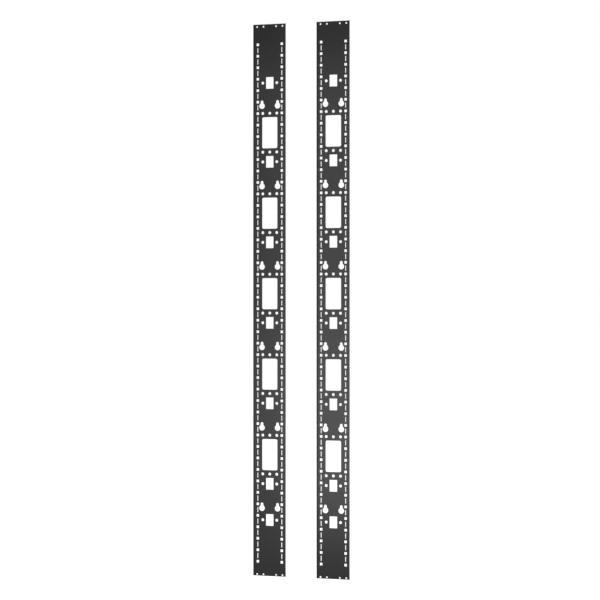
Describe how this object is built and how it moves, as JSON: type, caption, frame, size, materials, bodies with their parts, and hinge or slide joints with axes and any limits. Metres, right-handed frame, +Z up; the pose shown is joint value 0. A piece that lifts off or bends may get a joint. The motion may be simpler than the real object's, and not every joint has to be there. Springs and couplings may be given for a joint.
{
  "type": "vertical cable manager",
  "caption": "Pair of tall perforated steel channels with keyholes, cable windows, tie slots and screw holes, for routing cables and hanging power strips in a rack.",
  "frame": {"origin": "under the middle of the pair, at the bottom edges and half-way through the depth of the lips", "axes": "+Z up along the channels, +X to the right seen from the front, -Y forwards, the side that the folded lips point to"},
  "size_m": [0.39, 0.0064, 2.1336],
  "materials": {
    "coated_steel": "black semi-gloss powder coat"
  },
  "bodies": {
    "root": {"left_channel": "coated_steel", "right_channel": "coated_steel"}
  },
  "joints": []
}
